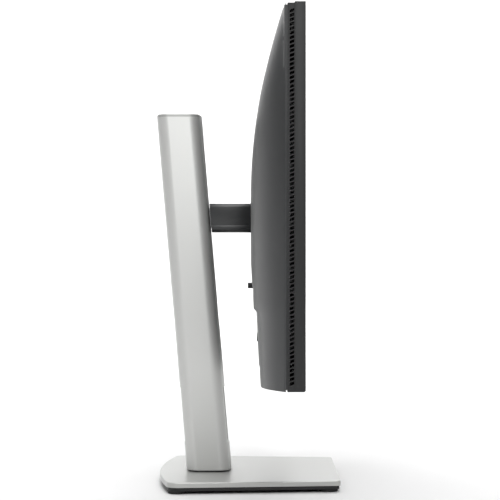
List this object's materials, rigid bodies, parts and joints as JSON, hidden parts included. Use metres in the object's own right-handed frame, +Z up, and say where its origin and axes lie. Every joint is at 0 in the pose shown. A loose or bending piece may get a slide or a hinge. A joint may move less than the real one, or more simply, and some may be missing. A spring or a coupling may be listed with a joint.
{
  "type": "computer monitor",
  "caption": "Flat desktop monitor with a bulged rear cover and side vents, on a leaning silver column and thin base; adjusts in height, tilt, swivel and pivot.",
  "frame": {"origin": "on the desk, under the middle of the object's box", "axes": "+Z up, the screen faces -Y, +X to the right of someone facing the screen"},
  "size_m": [0.5312, 0.1839, 0.4566],
  "materials": {
    "silver_paint": "satin silver paint",
    "silver_aluminium": "bead-blasted anodised",
    "black_plastic": "fine moulded grain",
    "dark_plastic": "fine moulded grain, dark grey",
    "rubber_pad": "matt",
    "steel": "zinc plated",
    "steel_screw": "plated",
    "cast_grey": "cast, painted",
    "brass_bush": "plain",
    "white_plastic": "plain",
    "bearing_plastic": "acetal",
    "screen_glass": "anti-glare",
    "clear_plastic": "clear acrylic",
    "film": "film",
    "circuit_board": "solder mask",
    "component": "epoxy",
    "socket_plastic": "plain"
  },
  "bodies": {
    "base": {"base_plate": "silver_paint", "base_tray": "black_plastic", "foot_pads": "rubber_pad", "tray_screws": "steel_screw", "swivel_bush": "brass_bush", "swivel_washer": "bearing_plastic"},
    "column": {"column_shell": "silver_aluminium", "cable_tunnel": "silver_paint", "column_cap": "silver_paint", "slot_trim": "black_plastic", "column_foot": "cast_grey", "friction_washer": "steel", "swivel_nut": "steel_screw", "column_mast": "steel", "guide_rails": "steel", "spring_tape": "steel", "tape_anchor": "steel"},
    "carriage": {"slider_carriage": "cast_grey", "spring_axle": "steel", "slider_bushes": "bearing_plastic", "arm_screws": "steel_screw", "arm_bracket": "steel", "arm_cover_upper": "dark_plastic", "arm_cover_lower": "dark_plastic"},
    "drum": {"spring_drum": "bearing_plastic", "spring_coil": "steel"},
    "tilt_head": {"tilt_bracket": "steel", "tilt_shaft": "steel", "tilt_washers": "steel", "tilt_nuts": "steel_screw", "pivot_washer": "bearing_plastic", "pivot_nut": "steel_screw"},
    "display": {"mount_plate": "steel", "plate_cover": "dark_plastic", "rear_cover": "dark_plastic", "vent_frame": "black_plastic", "front_bezel": "black_plastic", "lcd_glass": "screen_glass", "diffuser_sheets": "film", "light_guide": "clear_plastic", "reflector_sheet": "film", "panel_tray": "steel", "led_strip": "circuit_board", "chassis_plate": "steel", "vesa_bracket": "steel", "vesa_inserts": "brass_bush", "cover_screws": "steel_screw", "main_board": "circuit_board", "power_board": "circuit_board", "board_parts": "component", "timing_board": "circuit_board", "panel_cable": "white_plastic", "power_inlet": "socket_plastic", "data_ports": "steel", "release_spring": "steel"},
    "release": {"release_button": "black_plastic", "release_latch": "steel"},
    "stick": {"joystick_stem": "black_plastic"},
    "stick_top": {"joystick_cap": "black_plastic"},
    "power": {"power_button": "black_plastic"}
  },
  "joints": [
    {"name": "swivel", "type": "hinge", "parent": "base", "child": "column", "pos_m": [0, 0.03837, 0.0114], "axis": [0, 0, 1], "range_deg": [-45, 45]},
    {"name": "height", "type": "slide", "parent": "column", "child": "carriage", "axis": [0, 0.0847, 0.9964], "range_m": [-0.088, 0.062], "deforming": ["spring_tape"]},
    {"name": "drum_turn", "type": "hinge", "parent": "carriage", "child": "drum", "pos_m": [0, 0.0586, 0.216], "axis": [1, 0, 0], "continuous": true},
    {"name": "tilt", "type": "hinge", "parent": "carriage", "child": "tilt_head", "pos_m": [0, 0.004, 0.2685], "axis": [-1, 0, 0], "range_deg": [-5, 21]},
    {"name": "pivot", "type": "hinge", "parent": "tilt_head", "child": "display", "pos_m": [0, -0.0145, 0.2685], "axis": [0, 1, 0], "range_deg": [0, 25]},
    {"name": "release_slide", "type": "slide", "parent": "display", "child": "release", "axis": [0, 0, -1], "range_m": [0, 0.0035], "stiffness_N_per_m": 400, "springref_m": -0.001, "deforming": ["release_spring"]},
    {"name": "stick_press", "type": "slide", "parent": "display", "child": "stick", "axis": [0, -1, 0], "range_m": [0, 0.0006], "stiffness_N_per_m": 800, "springref_m": -0.0005},
    {"name": "stick_tip", "type": "hinge", "parent": "stick", "child": "stick_top", "pos_m": [0.226, -0.0184, 0.136], "axis": [1, 0, 0], "range_deg": [-4, 4], "stiffness_Nm_per_rad": 0.02},
    {"name": "power_press", "type": "slide", "parent": "display", "child": "power", "axis": [0, 0, 1], "range_m": [0, 0.0008], "stiffness_N_per_m": 800, "springref_m": -0.0005}
  ],
  "couplings": [
    {"joint": "drum_turn", "follows": "height", "rad_per_m": 111.11}
  ]
}
